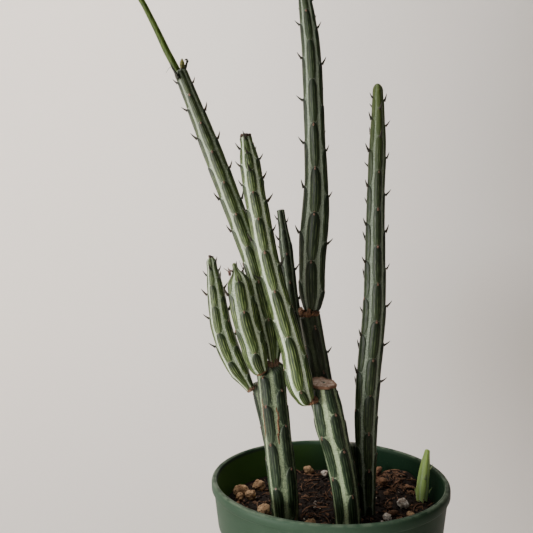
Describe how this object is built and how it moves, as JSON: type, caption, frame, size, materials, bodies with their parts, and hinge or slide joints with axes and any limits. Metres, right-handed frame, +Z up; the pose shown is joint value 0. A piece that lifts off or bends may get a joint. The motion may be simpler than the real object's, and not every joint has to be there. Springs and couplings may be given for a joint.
{
  "type": "potted pickle plant",
  "caption": "Upright succulent with ribbed, spine-leaved green stems and a thin flower stalk, rooted in soil in a round tapered nursery pot.",
  "frame": {"origin": "centre of the flat underside of the pot", "axes": "+Z up along the pot's axis, +X to the right seen from the front, -Y towards the front"},
  "size_m": [0.1728, 0.108, 0.3692],
  "materials": {
    "pot_green": "dark green thin moulded plastic, slightly satin",
    "soil_brown": "dark peaty potting mix with fibres and bark",
    "stem_green": "waxy dark green ribs with silvery grey-green stripes",
    "stem_dark_green": "old, very dark green stem with grey stripes and corky scars",
    "stem_light_green": "younger olive green stem with pale stripes",
    "young_green": "fresh yellow-green shoot",
    "stone_tan": "rough tan porous grit",
    "bark_brown": "reddish brown fibrous bark",
    "perlite_white": "chalky white perlite"
  },
  "bodies": {
    "root": {"pot": "pot_green", "soil": "soil_brown", "trunk_left": "stem_green", "trunk_left_back": "stem_dark_green", "left_outer_branch": "stem_light_green", "left_middle_branch": "stem_light_green", "long_leaning_branch": "stem_green", "trunk_centre": "stem_green", "inner_leaning_branch": "stem_light_green", "dark_trunk": "stem_dark_green", "tall_branch": "stem_green", "short_inner_stem": "stem_green", "right_stem": "stem_green", "short_stub": "stem_dark_green", "sprout": "young_green", "flower_stalk": "stem_light_green", "flower_bud": "stem_light_green", "tip_bud": "young_green", "stone_left_rear": "stone_tan", "stone_left_outer": "stone_tan", "stone_left_inner": "stone_tan", "stone_left_front": "stone_tan", "bark_left_wall": "bark_brown", "perlite_rear": "perlite_white", "stone_rear": "stone_tan", "bark_right_rear": "bark_brown", "bark_right_low": "bark_brown", "perlite_right": "perlite_white", "bark_right_front": "stone_tan", "perlite_front": "perlite_white", "stone_front_right": "stone_tan", "stone_by_trunk": "stone_tan", "stone_between": "stone_tan"}
  },
  "joints": []
}
